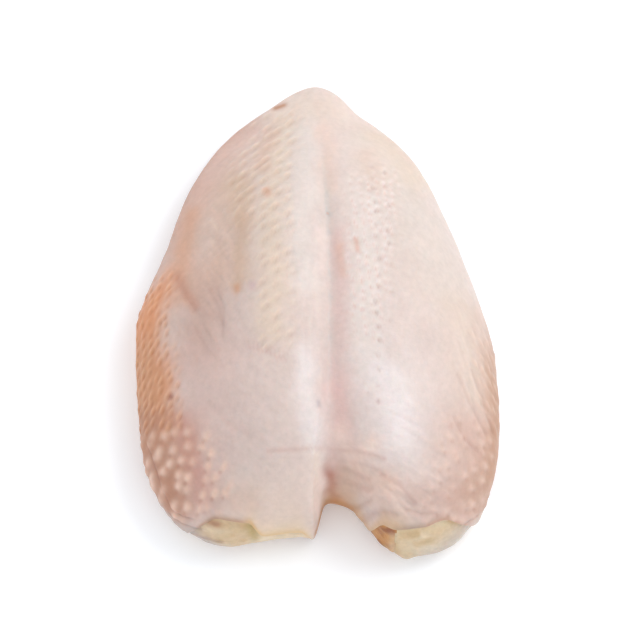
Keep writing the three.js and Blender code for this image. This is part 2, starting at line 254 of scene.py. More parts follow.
def domeHeight(x, y):
    # the dome before it rounds off: it falls towards tail, neck and flanks, with two crests
    f, crown, crest = form, form["crown"], form["halfCrest"]
    toTail = np.clip((y - crown["y"]) / f["tailFall"]["run"], 0, 1)
    toNeck = np.clip((crown["y"] - y) / f["neckFall"]["run"], 0, 1)
    along = (1 - f["tailFall"]["share"] * toTail ** f["tailFall"]["power"]
             - f["neckFall"]["share"] * toNeck ** f["neckFall"]["power"])
    toTip = np.clip((y - f["widestY"]) / f["tipReach"], 0, f["tipShare"])
    half = f["halfWidth"] * (1 - toTip ** f["tipPower"]) ** (1 / f["tipPower"])
    away = x - furrowLine(y)
    crests = (bell(away, crest["left"], crest["leftSpread"])
              + bell(away, crest["right"], crest["rightSpread"]))
    return (crown["height"] * along * (1 - f["sideFall"] * (away / half) ** 2)
            + crest["height"] * crests * plateau(crest["y"], y))


def surfaceAt(around, down):
    # a point of the carrying surface: over the dome to the rim, where the height falls off as a
    # power of the way out, then a quarter ellipse that turns under to the table
    f, crown, high = form, form["crown"], form["rimHeight"]
    dome, dip, corner = form["roundOff"], form["dip"], form["cornerTuck"]
    px, py, bx, by = np.moveaxis(rimAround(around), -1, 0)
    base = (high["flank"] - high["tipDrop"] * ease(*high["tipY"], py)
            - high["neckDrop"] * ease(*high["neckY"], py))
    rx, ry = px - crown["x"], py - crown["y"]
    out = np.sin(np.minimum(down / f["rimAt"], 1) * np.pi / 2)
    x = crown["x"] + rx * out + bx * out ** 3 * (1 - out)
    y = crown["y"] + ry * out + by * out ** 3 * (1 - out)
    height = domeHeight(x, y) - valleyDepth(x, y) - furrowDepth(x, y) - base
    rounding = (1 - out ** dome["power"]) ** dome["fullness"]
    across = np.where(x < dip["x"], dip["leftAcross"], dip["across"])
    dipped = dip["share"] * bell(x, dip["x"], across) * bell(y, dip["y"], dip["along"])
    z = base + height * rounding * (1 - dipped)
    turn = np.clip((down - f["rimAt"]) / (1 - f["rimAt"]), 0, 1) * np.pi / 2
    less = corner["share"] * bell(px, corner["x"], corner["spread"]) * ease(*corner["y"], py)
    inward = f["tuck"] * (1 - less) * (1 - np.cos(turn)) / np.hypot(rx - bx, ry - by)
    under = down > f["rimAt"]
    x = np.where(under, px - (rx - bx) * inward, x)
    y = np.where(under, py - (ry - by) * inward, y)
    return np.stack([x, y, np.where(under, base * (1 - np.sin(turn)), z)], -1)


# Grids and meshes

def squareGrid(cells):
    # places a, b over the square from -1 to 1 both ways, row by row
    a = np.linspace(-1, 1, cells[0] + 1)
    b = np.linspace(-1, 1, cells[1] + 1)
    return np.meshgrid(a, b)


def discPlace(a, b):
    # the square laid on a disc with its corners at tail, neck and flanks: share of the way
    # around, and out from the middle
    x = a * np.sqrt(1 - b * b / 2)
    y = b * np.sqrt(1 - a * a / 2)
    return np.mod(np.arctan2(-x, y) / (2 * np.pi) + 1 / 8, 1), np.hypot(x, y)


def gridQuads(shape, first=0):
    # the grid's quads as vertex numbers, counterclockwise from above
    n = np.arange(shape[0] * shape[1]).reshape(shape) + first
    return np.stack([n[:-1, :-1], n[:-1, 1:], n[1:, 1:], n[1:, :-1]], -1).reshape(-1, 4)


def gridBorder(shape, first=0):
    # the border's vertex numbers, counterclockwise from above
    n = np.arange(shape[0] * shape[1]).reshape(shape) + first
    return np.concatenate([n[0, :-1], n[:-1, -1], n[-1, :0:-1], n[:0:-1, 0]])


def ringQuads(upper, lower):
    # quads that join two closed rings of vertex numbers, facing out when upper is above
    return np.stack([upper, lower, np.roll(lower, -1), np.roll(upper, -1)], -1)


def ringsBelow(border, first, count):
    # quads from a border down through that many rings of new vertices, and the last ring
    faces = []
    for k in range(count):
        ring = first + k * len(border) + np.arange(len(border))
        faces.append(ringQuads(border, ring))
        border = ring
    return faces, border


def normalsAt(around, down, step=1e-3):
    # unit normals by differences along the disc's two axes, which stay sound at its middle
    turn = around * 2 * np.pi
    x, y = -np.sin(turn) * down, np.cos(turn) * down
    def at(dx, dy):
        u, v = x + dx, y + dy
        return surfaceAt(np.mod(np.arctan2(-u, v) / (2 * np.pi), 1), np.minimum(np.hypot(u, v), 1))
    return unitOf(np.cross(at(step, 0) - at(-step, 0), at(0, step) - at(0, -step)))


def makePiece(name, points, faces, tone, material, replaces):
    # a smooth mesh from points in millimetres, lists of vertex numbers and each vertex's colour,
    # on the one body
    mesh = bpy.data.meshes.new(name)
    mesh.from_pydata((points * mm).tolist(), [], [f for group in faces for f in group.tolist()])
    mesh.shade_smooth()
    layer = mesh.attributes.new("tone", "FLOAT_COLOR", "POINT")
    layer.data.foreach_set("color", np.concatenate([tone, np.ones((len(tone), 1))], -1).ravel())
    mesh.materials.append(material)
    piece = bpy.data.objects.new(name, mesh)
    bpy.context.scene.collection.objects.link(piece)
    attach(piece, "root")
    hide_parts(*replaces)
    print(name, len(mesh.vertices), "vertices", len(mesh.polygons), "faces")


# Materials

def addNode(tree, kind, settings=None, inputs=None):
    # a node with its settings, and its inputs as values or as another node's output
    node = tree.nodes.new(kind)
    for label, value in (settings or {}).items():
        setattr(node, label, value)
    for label, value in (inputs or {}).items():
        if isinstance(value, bpy.types.NodeSocket):
            tree.links.new(value, node.inputs[label])
        else:
            node.inputs[label].default_value = value
    return node


def newMaterial(name):
    # an empty material, and its node tree
    material = bpy.data.materials.new(name)
    material.use_nodes = True
    material.node_tree.nodes.clear()
    return material, material.node_tree


def noiseBetween(tree, place, size, low, high, detail=2, roughness=0.5):
    # a value from low to high, by a noise of that size in millimetres
    noise = addNode(tree, "ShaderNodeTexNoise", inputs={
        "Vector": place, "Scale": 1 / (size * mm), "Detail": detail, "Roughness": roughness})
    return addNode(tree, "ShaderNodeMapRange", inputs={
        "Value": noise.outputs["Fac"], "From Min": 0.3, "From Max": 0.7,
        "To Min": low, "To Max": high}).outputs["Result"]


def fineBumps(tree, place, size, height, strength):
    # normals of bumps of that size and height in millimetres
    bumps = addNode(tree, "ShaderNodeTexNoise", inputs={
        "Vector": place, "Scale": 1 / (size * mm), "Detail": 2, "Roughness": 0.55}).outputs["Fac"]
    return addNode(tree, "ShaderNodeBump", inputs={
        "Height": bumps, "Strength": strength, "Distance": height * mm}).outputs["Normal"]


def wetMaterial(name, mottle, bumps, depth, roughness=None, film=None, ior=1.42,
                radius=(1.0, 0.45, 0.25)):
    # something soft and wet: the piece's own colours, lighter and darker by the mottle, a little
    # see-through to that depth in millimetres, and a gloss that fine bumps break up. A film makes
    # its roughness uneven. Mottle and film are a noise's size, low and high.
    material, tree = newMaterial(name)
    place = addNode(tree, "ShaderNodeTexCoord").outputs["Object"]
    tone = addNode(tree, "ShaderNodeAttribute", {"attribute_name": "tone"}).outputs["Color"]
    shade = noiseBetween(tree, place, *mottle, detail=3, roughness=0.6)
    colour = addNode(tree, "ShaderNodeVectorMath", {"operation": "SCALE"}, {0: tone, "Scale": shade})
    shader = addNode(tree, "ShaderNodeBsdfPrincipled", inputs={
        "Base Color": colour.outputs["Vector"], "IOR": ior,
        "Roughness": noiseBetween(tree, place, *film) if film else roughness,
        "Subsurface Weight": 0.3, "Subsurface Radius": radius, "Subsurface Scale": depth * mm,
        "Normal": fineBumps(tree, place, *bumps)})
    addNode(tree, "ShaderNodeOutputMaterial", inputs={"Surface": shader.outputs["BSDF"]})
    return material


# Skin

skin = dict(
    cells=(280, 305),
    coarser=5,                     # the inner side's cells are this many times as large
    thick=1.4, edgeThick=0.5, edgeTaper=0.05,   # it thins out over that share of the way down
    tuckedAt=0.936,                # how far down its edge lies, turned under
    neckY=-60,                     # it is cut back only past this y
    openings=[                     # a four in x, and the cut's height over the table
        dict(x=(-65, -40, -27.5, -17), top=27.5),
        dict(x=(-31, -23, -5.5, -0.5), top=17),
        dict(x=(17, 27, 50, 76), top=28),
    ],
    edgeSearch=dict(around=1440, downFrom=0.4, steps=500),
    edgeWave=((9, 0.0048), (4, 0.0024)), waveAbove=0.93,   # unevenness of the cut edge
    edgeBlur=5, edgeRound=0.25, edgeTurns=(35, 90, 145),   # it is rounded, by rings at those turns
    reliefEnds=(0.86, 0.93),       # the relief fades where the skin turns under
    slackEnds=(0.9, 0.82),
    swell=((34, 0.5), (13, 0.35), (5, 0.14)),   # size and height of the uneven surface
    wrinkle=4,                     # height of a streak of strength 1
    tone="d0bfb9", innerTone="dcb9a8",
    patches=((11, 0.03), (4.5, 0.015)),         # lighter and darker ground
    drift=((16, 2.5), (6, 1)),     # the borders between tones aren't straight
    flankDrift=dict(y=2.5, down=0.012),
)


# Feather follicles stand in tracts. Each tract is a lattice of places: the next column is at
# "next" and the next row at "down", in millimetres measured over the skin. At each place a
# small ridge or dome stands, with a pit at its lower end. "left" and "right" bound the tract
# as (y, x) points, and it fades out over "fade".
# A ridge is painted lighter, partly its own cream and partly a painted highlight, and a pit darker with
# painted shade.
follicle = dict(varies=0.35, pitWide=0.9, reach=2, draws=64)   # reach in lattice places
tracts = [
    # upper left
    dict(origin=(-17.6, 0), next=(5.4, 3.5), down=(0.1, -6.1), jitter=0.2,
         angle=41, long=2.6, wide=0.9, height=0.7, pit=0.25, pitAt=(-0.2, -1.5), pitLong=2.2,
         y=(-32, 88), left=((-30, -24), (14, -26), (40, -38), (60, -42), (80, -30)),
         right=((-30, -12), (88, -8)), fade=4, ridgeToneAndHighlight=("e4d0be", 0.45), pitShade=("b39685", 0.3)),
    # right column
    dict(origin=(24, 0), next=(5.6, 3.2), down=(0.05, -6.0), jitter=0.16,
         angle=60, long=1.4, wide=1.2, height=0.2, pit=0.45, pitAt=(-1.3, -1.2), pitLong=0.9,
         y=(-52, 62), left=((0, 19), (1, 19)), right=((-50, 27), (10, 30), (60, 34)), fade=3,
         ridgeToneAndHighlight=("e6dcd8", 0.3), pitShade=("b39289", 0.4)),
    # right net
    dict(origin=(21, 3), next=(3.5, 2.0), down=(0.3, -3.7), jitter=0.25,
         angle=60, long=1.1, wide=1.0, height=0.26, pit=0.2, pitAt=(-0.9, -0.9), pitLong=0.7,
         y=(-24, 54), left=((0, 12), (1, 12)), right=((-24, 26), (8, 30), (56, 36)), fade=5,
         ridgeToneAndHighlight=("e8dedb", 0.45), pitShade=("cfa094", 0.35)),
    # left flank
    dict(origin=(-72, 0), next=(5.0, 3.0), down=(0.3, -4.3), jitter=0.25,
         angle=46, long=2.1, wide=0.9, height=0.42, pit=0.25, pitAt=(-0.2, -1.3), pitLong=1.4,
         y=(-54, 16), left=((0, -96), (1, -96)), right=((-52, -60), (-20, -66), (16, -70)), fade=4,
         ridgeToneAndHighlight=("e6b696", 0.5), pitShade=("a8683f", 0.38)),
    # left lower flank
    dict(origin=(-63, -67.2), next=(6.8, -1.6), down=(-2.2, -4.6), jitter=0.26,
         angle=0, long=2.2, wide=1.8, height=0.8, pit=0.1, pitAt=(-1.6, -1.8), pitLong=1.2,
         y=(-88, -54), left=((0, -92), (1, -92)), right=((-92, -36), (-76, -36), (-50, -58)), fade=4,
         ridgeToneAndHighlight=("e0c0af", 0.85), pitShade=("9c5a3e", 0.3)),
    # right lower flank
    dict(origin=(60, -75), next=(6.6, 2.4), down=(2.6, -4.4), jitter=0.28,
         angle=0, long=2.2, wide=1.6, height=0.38, pit=0.15, pitAt=(1.6, -1.4), pitLong=1.2,
         y=(-94, -50), left=((-94, 40), (-70, 48), (-50, 58)), right=((0, 88), (1, 88)), fade=6,
         ridgeToneAndHighlight=("dec3b6", 0.4), pitShade=("a87e6c", 0.3)),
    # right flank
    dict(origin=(80, -35), next=(5.6, -2.4), down=(0.4, -6.0), jitter=0.2,
         angle=150, long=2.8, wide=1.1, height=0.4, pit=0.2, pitAt=(-1.5, -1), pitLong=1.2,
         y=(-48, -12), left=((0, 71), (1, 71)), right=((0, 96), (1, 96)), fade=4,
         ridgeToneAndHighlight=("dcc0ae", 0.4), pitShade=("a98573", 0.3)),
]


def fold(depth, width, *path, lip=0):
    # a crease or fold along points in plan, or with their height where the skin is steep. The lip
    # is how far the skin above the line stands over the skin below it.
    return dict(depth=depth, width=width, path=path, lip=lip)


creaseForm = dict(lipRise=(-0.4, 0.6), lipWidth=3,   # a lip rises over that range of height
                  shade=0.5, tint=(0.7, 1, 1.05))    # darkening in a crease one millimetre deep
cornerFolds = [
    fold(0.45, 0.7, (-60.5, -82.5, 14.5), (-59.2, -84.5, 15), (-54.2, -88.7, 16.8),
         (-47.8, -91.9, 19.4), lip=0.6),
    fold(0.4, 0.7, (-57.4, -87.3, 10.7), (-51.7, -92.1, 12.2), (-45.7, -94.8, 15),
         (-39.4, -96.3, 15.2), lip=0.5),
]
creases = cornerFolds + [
    fold(0.14, 0.7, (-20, -68.8), (-7, -67.9), (1, -66.2)),
    fold(0.14, 0.7, (9, -65.4), (15, -66.6), (27, -71.4)),
    fold(0.1, 0.6, (-24, -71.5), (-7, -70.8), (0, -69.6)),
    fold(0.14, 0.6, (8.5, -63.6), (18, -64.6)),
    fold(0.25, 0.8, (10.5, -70.5), (15, -72.8), (21, -77)),
    fold(0.2, 0.8, (11, -74.5), (15, -76.2), (21, -80.6)),
    fold(0.25, 0.9, (9, -80.5), (15, -82), (21.5, -83.5)),
    fold(0.3, 1.0, (14, -84.5), (22, -87.5), (32, -90.3)),
    fold(0.2, 0.8, (14, -69.5), (22, -73.6), (27, -77)),
    fold(0.3, 1.1, (26, -77), (33, -80.4), (39, -86)),
    fold(0.25, 0.7, (36, -88.5), (42, -89.5), (48, -88.6)),
    fold(0.3, 1.0, (55.5, -52.4), (59.6, -59.3), (66.2, -63.3)),
    fold(0.25, 0.9, (57, -34), (62, -44), (68, -54)),
    fold(0.25, 0.9, (63, -30), (68, -42), (71, -52)),
    fold(0.3, 1.6, (-57.8, 13), (-54.6, 4.5), (-50, -5.5)),
    fold(0.15, 0.9, (-44, 2), (-40, -6), (-38.5, -15)),
    fold(0.18, 0.8, (-41, 2), (-38, -8), (-38.5, -20)),
    fold(0.14, 0.8, (-50, -14), (-45, -24), (-38, -33)),
    fold(0.12, 0.8, (-44, -46), (-36, -56), (-27, -63)),
    fold(0.14, 0.6, (-28, -24), (-20, -28), (-12, -31)),
    # the cut edge seems to run on round both corners, over skin that is folded under it
    fold(0.4, 0.8, (-69.2, -55.9, 21.6), (-67.4, -61.2, 22.9), (-65.1, -68.2, 23), (-62.5, -75.2, 21),
         (-59.2, -82.4, 18.4), (-54.9, -85.9, 19.9), (-50.5, -88, 22), lip=0.8),
    fold(0.4, 0.8, (58, -89.5, 21), (62.1, -87.4, 18.6), (67.8, -80.8, 13.3), lip=0.8),
    fold(0.25, 0.7, (60, -92, 14.6), (63.9, -87.8, 10.4), lip=0.3),
]


def openingTop(x):
    # height of the skin's cut edge over the table at the neck end, 0 where it isn't cut back
    return np.max([o["top"] * plateau(o["x"], x) for o in skin["openings"]], axis=0)


def skinEdge():
    # how far down the skin reaches at each of many even places around: to where it first comes
    # below the cut's height, or else to its tucked edge, blurred round the ring and made uneven
    search = skin["edgeSearch"]
    around = np.linspace(0, 1, search["around"], endpoint=False)
    down = np.linspace(search["downFrom"], skin["tuckedAt"], search["steps"])
    points = surfaceAt(around[:, None], down[None, :])
    cut = (points[..., 2] < openingTop(points[..., 0])) & (points[..., 1] < skin["neckY"])
    edge = np.where(cut.any(1), down[cut.argmax(1)], skin["tuckedAt"])
    wave = layeredNoise(surfaceAt(around, edge), skin["edgeWave"], seeds["cutEdge"])
    return around, ringBlur(edge, skin["edgeBlur"]) + wave * (edge < skin["waveAbove"])


edgePlaces, edgeDowns = skinEdge()


def skinDown(around, out):
    # the skin's grid fills the disc up to its own edge, drawn in more towards the edge
    edge = np.interp(around, np.append(edgePlaces, 1), np.append(edgeDowns, edgeDowns[0]))
    return out * (skin["tuckedAt"] - (skin["tuckedAt"] - edge) * out)


def skinThick(around, down):
    # full, but easing to the edge's own thickness over the last of the way down
    return mix(skin["edgeThick"], skin["thick"], ease(0, skin["edgeTaper"], skinDown(around, 1) - down))


def pastEdge(points, around, down, spare=10):
    # distance to the skin's cut edge at the neck end, negative under the skin
    edge = surfaceAt(edgePlaces, edgeDowns)
    edge = edge[edge[:, 1] < skin["neckY"] + spare][::2]   # every second place is near enough
    away = lengthOf(points[..., None, :] - edge).min(-1)
    return np.where(down > skinDown(around, 1), away, -away)


def runFromCrown(around, down, steps=24):
    # distance over the skin from the crown, laid off in the direction of the rim's point
    run, last = 0, surfaceAt(around, down * 0)
    for k in range(1, steps + 1):
        point = surfaceAt(around, down * k / steps)
        run = run + lengthOf(point - last)
        last = point
    return unitOf(rimAround(around)[..., :2] - crownPlan) * run[..., None]


def inTract(place, tract):
    # 1 inside the tract's bounds and fading to 0 outside them
    x, y = place[..., 0], place[..., 1]
    left, right = (np.interp(y, *np.transpose(tract[side])) for side in ("left", "right"))
    low, high, fade = *tract["y"], tract["fade"]
    return (ease(left - fade, left + fade, x) * ease(right + fade, right - fade, x)
            * ease(low - fade, low + fade, y) * ease(high + fade, high - fade, y))


def follicleFields(across, along, tract, seed):
    # sums a bell-shaped ridge and a pit over the lattice places around each point
    draws, reach = follicle["draws"], follicle["reach"]
    draw = np.random.default_rng(seed).uniform(-1, 1, (draws, draws, 3))
    basis = np.array([tract["next"], tract["down"]])
    offset = np.stack([across - tract["origin"][0], along - tract["origin"][1]], -1)
    nearest = np.round(offset @ np.linalg.inv(basis))
    raised, pitted = 0, 0
    for step in np.ndindex(2 * reach + 1, 2 * reach + 1):
        cell = nearest + np.subtract(step, reach)
        chance = draw[cell[..., 0].astype(int) % draws, cell[..., 1].astype(int) % draws]
        place = (cell + tract["jitter"] * chance[..., :2]) @ basis
        weight = inTract(place + tract["origin"], tract) * (1 + follicle["varies"] * chance[..., 2])
        length, breadth = turned(*np.moveaxis(offset - place, -1, 0), tract["angle"])
        raised = raised + weight * bell(length, 0, tract["long"]) * bell(breadth, 0, tract["wide"])
        pitted = pitted + weight * (bell(length, tract["pitAt"][0], tract["pitLong"])
                                    * bell(breadth, tract["pitAt"][1], follicle["pitWide"]))
    return raised, pitted


# Fine wrinkles and streaks

def streak(angle, strength, width, *path):
    # streaks in that direction in degrees, that strong, round a path in plan
    return dict(angle=angle, strength=strength, width=width, path=path)


streakSize = (9, 1.3, 20)   # along a streak, across it and in height
streaks = [
    streak(-58, 0.05, 14, (-44, 14), (-46, -20)),
    streak(-35, 0.035, 18, (-30, -40), (-26, -66)),
    streak(42, 0.05, 14, (-34, 60), (-40, 24)),
    streak(-22, 0.045, 16, (34, -60), (44, -80)),
    streak(88, 0.02, 9, (-6, 40), (-6, -50)),
    streak(60, 0.015, 20, (34, 60), (54, 0)),
    streak(-72, 0.05, 10, (66, -10), (66, -60)),
    streak(-3, 0.04, 5, (12, -67), (28, -69)),
    streak(-36, 0.07, 9, (16, -74), (32, -86)),
    streak(-68, 0.05, 9, (-38, 4), (-40, -26)),
    streak(-70, 0.07, 8, (-40, 36), (-38, 14)),
]


def streakField(points):
    # soft noise drawn out along each streak's direction and faded with distance from its path
    x, y, z = np.moveaxis(points, -1, 0)
    field = 0
    for seed, group in enumerate(streaks, seeds["streaks"]):
        drawn = np.stack([*turned(x, y, group["angle"]), z], -1) / streakSize
        field = field + group["strength"] * pathShare(group, points) * softNoise(drawn, 1, seed)
    return field


def awayFrom(path, points):
    # distance to the path's nearest stretch, and the height over it, in plan or in 3-D
    nearest, above = np.full(points.shape[:-1], np.inf), np.zeros(points.shape[:-1])
    places = points[..., :len(path[0])]
    for start, end in zip(path[:-1], path[1:]):
        run = np.array(end) - start
        share = np.clip((places - start) @ run / (run @ run), 0, 1)[..., None]
        apart = places - start - share * run
        away = lengthOf(apart)
        above = np.where(away < nearest, apart[..., -1], above)
        nearest = np.minimum(nearest, away)
    return nearest, above


def pathShare(spot, points):
    # 1 on the spot's path, fading as a bell with the distance from it
    return bell(awayFrom(spot["path"], points)[0], 0, spot["width"])


def creaseRelief(crease, points):
    # a bell-shaped groove, and the lip that stands over it and fades away from the line
    away, above = awayFrom(crease["path"], points)
    lip = crease["lip"] * ease(*creaseForm["lipRise"], above) * bell(away, 0, creaseForm["lipWidth"])
    return lip - crease["depth"] * bell(away, 0, crease["width"])


def creaseShade(lines, points):
    # darker in a crease, and redder, as less light gets in
    shade = np.zeros(points.shape[:-1])
    for crease in lines:
        shade = shade + creaseForm["shade"] * crease["depth"] * pathShare(crease, points)
    return (1 - shade)[..., None] ** creaseForm["tint"]


def skinRelief(around, down, points):
    # relief of the skin in millimetres, and each tract's raised and pitted shares
    flat = runFromCrown(around, down) + crownPlan
    fields = [follicleFields(flat[..., 0], points[..., 1], tract, seed)
              for seed, tract in enumerate(tracts, seeds["tracts"])]
    relief = sum(tract["height"] * raised - tract["pit"] * pitted
                 for tract, (raised, pitted) in zip(tracts, fields))
    relief = relief + sum(creaseRelief(crease, points) for crease in creases)
    relief = relief + skin["wrinkle"] * streakField(points)
    return relief + layeredNoise(points, skin["swell"], seeds["swell"]), fields


# What the eye sees through the skin: fat is cream, muscle near the surface pink, and thin skin
# over a bruise brown. A few areas are painted highlights on the wet crests and painted light on steep
# walls.

def area(colour, amount, width, *path):
    # a soft area of colour round a path, in plan or with heights: how much of it, and how wide
    return dict(colour=colour, amount=amount, width=width, path=path)


toneAndPaintedLightAreas = [
    area("bd9e92", 0.85, 13, (-45, 6), (-47, -22)),  # left inner flank
    area("ccb1aa", 0.6, 17, (-45, -30), (-42, -62)),  # left half
    area("c9ab9b", 0.75, 12, (-36, 60), (-41, 15)),  # left upper half
    area("c5aa9e", 0.6, 7, (-30, 80), (-48, 50)),  # upper left edge
    area("c4a78b", 0.5, 6, (-33, 52), (-31, 36)),  # olive patch
    area("bfa088", 0.6, 4, (-30, 32), (-29.5, 6)),  # olive band
    area("d6c3b0", 0.6, 7, (-15, 84), (-17, 45), (-18, -20)),  # cream column
    area("d6cbc6", 0.8, 5.8, (-4.6, 82), (-5, 0)),  # crest: paler stretched skin with a painted highlight
    area("dfd6d5", 0.8, 5.2, (-3.6, -30), (-2, -66)),  # painted wet highlight on the lower crest
    area("d8c4b6", 0.6, 12, (-8, 92), (4, 90)),  # tip
    area("cdaeaa", 0.7, 3.8, (9, 24), (8.5, 0), (8.5, -20), (9, -44)),  # furrow pink
    area("d9b6b1", 0.75, 5.5, (9, -44), (10, -64)),  # furrow low
    area("ddd0c6", 0.8, 4, (-2, -70, 44), (-2, -84, 24)),  # painted light on the notch's steep left wall
    area("dcc0b4", 0.6, 5, (3, 78), (4, 46)),  # tail furrow
    area("cb9a84", 0.5, 2, (9.5, 18), (10.5, 4)),  # furrow blush
    area("ddd2cd", 0.7, 9, (22, 66), (20, 10), (18, -30)),  # right column ground
    area("cbbdb4", 0.7, 20, (42, 40), (52, 10)),  # right upper half
    area("ccb8a4", 0.6, 9, (24, 76), (38, 58)),  # tail right
    area("e3dada", 0.75, 11, (27, -40), (33, -62)),  # painted wet highlight on the right middle
    area("cdb7a6", 0.5, 10, (60, -4), (64, -40)),  # right flank
    area("c09f91", 0.8, 12, (62, -58), (61, -84)),  # right lower flank
    area("dcc6b8", 0.6, 9, (-30, -86), (-10, -86)),  # neck left
    area("d3b8ad", 0.6, 8, (28, -84), (45, -89)),  # neck right
    area("e8d0c6", 0.75, 5, (9, -61), (14, -68), (21, -66)),  # above the notch
    area("a9634f", 0.85, 3.2, (6.5, -71.5), (7.5, -78)),  # notch red
    area("cdae97", 0.5, 4, (11, -73), (13, -78)),  # notch brown
    area("dabaa9", 0.5, 5, (17, -74), (28, -80)),  # notch folds
    area("f0dcd4", 0.9, 2.8, (2.5, -74), (1.6, -83)),  # painted light on the dip's steep left side
    area("b98a76", 0.6, 6.5, (-57, -70), (-52, -60)),  # lower left red
    area("bf8c80", 0.7, 8, (-55, -54), (-52, -68), (-48, -82)),  # lower left pink
    area("c6aba0", 0.5, 5, (-42, -84), (-26, -84)),  # above left pad
    area("c79a80", 0.5, 5, (-47, 54), (-51, 40), (-55.5, 20), (-54, 2)),  # left tan
    area("c69f8b", 0.5, 4, (-21, 76), (-22, 60)),  # tail left
    area("c9ad9b", 0.5, 6, (19, 64), (23, 50)),  # tail right inner
    area("ddccc6", 0.6, 2.4, (3, 27), (3, 8)),  # furrow left side
    area("b9978b", 0.4, 5, (42, -84), (54, -81)),  # right neck fold
]

# The same along the flanks: a range of x on one side, of y, and how far down it starts and is full
toneFlanks = [
    dict(side=-1, x=(40, 52), y=(-70, -54, 0, 34), down=(0.45, 0.6),
         colour="d08a5c", amount=0.93),   # left flank, tan
    dict(side=-1, x=(54, 64), y=(-72, -58, -28, -4), down=(0.5, 0.62),
         colour="b58a6a", amount=0.5),    # left flank, brown
    dict(side=-1, x=(12, 30), y=(6, 40, 76, 94), down=(0.5, 0.68),
         colour="ccaba0", amount=0.75),   # left shoulder
    dict(side=-1, x=(43, 59), y=(-97, -84, -50, -34), down=(0.43, 0.59),
         colour="b17f66", amount=0.88),   # left corner
    dict(side=1, x=(45, 58), y=(-92, -62, -36, 14), down=(0.51, 0.68),
         colour="b0866c", amount=0.9),    # right edge
    dict(side=-1, x=(10, 22), y=(0, 34, 78, 100), down=(0.64, 0.82),
         colour="ab826c", amount=0.5),    # left outline
]

# And along the skin's cut edge: a range of x and how wide the strip is
toneRims = [
    dict(x=(-54, -46, -25, -20), width=2.3, colour="ad7a55", amount=0.65),
    dict(x=(-33, -20, -4, 0), width=10, colour="e2c7a6", amount=0.65),
    dict(x=(-31, -26, -5, -2), width=3, colour="d6b27e", amount=0.7),
    dict(x=(0, 2, 16, 20), width=10, colour="cfa980", amount=0.55),
    dict(x=(-2, 0, 14, 17), width=5, colour="b4773c", amount=0.8),
    dict(x=(12, 17, 30, 42), width=8, colour="caa682", amount=0.85),
    dict(x=(28, 36, 58, 66), width=2.4, colour="b48d76", amount=0.7),
]

# Small marks and folds, as areas are, laid over the rest
toneMarks = [
    area("b9aaa3", 0.95, 4.5, (-62, -80, 9), (-57.5, -87, 10), (-51, -91.5, 14)),  # folded corner
    area("cbc0b6", 0.9, 4.5, (50, -96, 17), (60, -91, 13), (66, -84, 8)),  # clear membrane
    area("c8916b", 0.45, 4.5, (-52, 42), (-56, 26)),  # tan by the left outline
    area("a8662f", 0.75, 1.5, (-17, 92.6), (-14, 93.6)),
    area("c98868", 0.45, 1.7, (-20.6, 45.6), (-20.2, 43.6)),
    area("bd8458", 0.6, 1.8, (-32.6, 0.8), (-32.4, -0.8)),
    area("bd9ba4", 0.4, 1.5, (-26.3, 0.6), (-26.1, -0.8)),
    area("c9876a", 0.4, 1.1, (15.4, 20.5), (16.4, 15.5)),
    area("8d4c38", 0.7, 1.1, (-59.5, -40.4), (-59.2, -41)),
    area("c58a6e", 0.35, 2.2, (-57, 12), (-54, 3.5), (-50, -4.5)),
    area("b98e8c", 0.3, 0.8, (-28, -26.5), (-20, -29.8), (-13, -33.4)),
    area("a39aa2", 0.5, 1.0, (0.4, -49.6), (0.5, -50.6)),
    area("c99e92", 0.2, 0.9, (-20, -68.8), (-7, -67.9), (5, -64.8), (15, -66.6), (27, -71.4)),
]


def laidOver(tone, colour, share):
    # that share of the colour over the tone
    return mix(tone, linearColour(colour), np.clip(share, 0, 1)[..., None])


def skinTone(points, down, toEdge, fields):
    # base colour, then areas (some painted highlights and painted light), flanks, the cut edge's rim,
    # patches and streaks that lighten where their relief is raised and darken where it is sunk, each
    # tract's follicles (painted highlights on ridges, painted shade in pits), small marks, and painted
    # shade in creases
    x, y = points[..., 0], points[..., 1]
    tone = np.broadcast_to(linearColour(skin["tone"]), points.shape)
    drift = layeredNoise(points, skin["drift"], seeds["drift"])
    flankDrift = skin["flankDrift"]
    for spot in toneAndPaintedLightAreas:
        tone = laidOver(tone, spot["colour"], spot["amount"] * pathShare(spot, points + drift[..., None]))
    for flank in toneFlanks:
        share = (ease(*flank["x"], x * flank["side"])
                 * plateau(flank["y"], y + flankDrift["y"] * drift)
                 * ease(*flank["down"], down + flankDrift["down"] * drift))
        tone = laidOver(tone, flank["colour"], flank["amount"] * share)
    for strip in toneRims:
        share = plateau(strip["x"], x) * bell(toEdge, 0, strip["width"]) * (y < skin["neckY"])
        tone = laidOver(tone, strip["colour"], strip["amount"] * share)
    patchy = layeredNoise(points, skin["patches"], seeds["patches"])
    tone = tone * (1 + patchy + streakField(points))[..., None]
    # each follicle's ridge: own cream with a painted highlight; its pit: painted shade
    for tract, (raised, pitted) in zip(tracts, fields):
        for (colour, amount), field in ((tract["ridgeToneAndHighlight"], raised), (tract["pitShade"], pitted)):
            tone = laidOver(tone, colour, amount * field)
    for mark in toneMarks:
        tone = laidOver(tone, mark["colour"], mark["amount"] * pathShare(mark, points))
    return tone * creaseShade(creases, points)


def edgeDistance(points, around):
    # distance to the skin's edge at the same place around, or to the rim where that is nearer
    ends = skinDown(around, 1), np.full_like(around, form["rimAt"])
    return np.minimum(*(lengthOf(points - surfaceAt(around, end)) for end in ends))


def roundedEdge(points, outer, normals, thick):
    # rings of a half circle round the skin's border, from the outer side down: each is sunk by a
    # share of the thickness and bulges onwards along the skin
    onward = unitOf(np.cross(np.roll(points, -1, axis=0) - np.roll(points, 1, axis=0), normals))
    return [outer - normals * (thick[:, None] / 2 * (1 - np.cos(turn)))
            + onward * skin["edgeRound"] * np.sin(turn) for turn in np.radians(skin["edgeTurns"])]


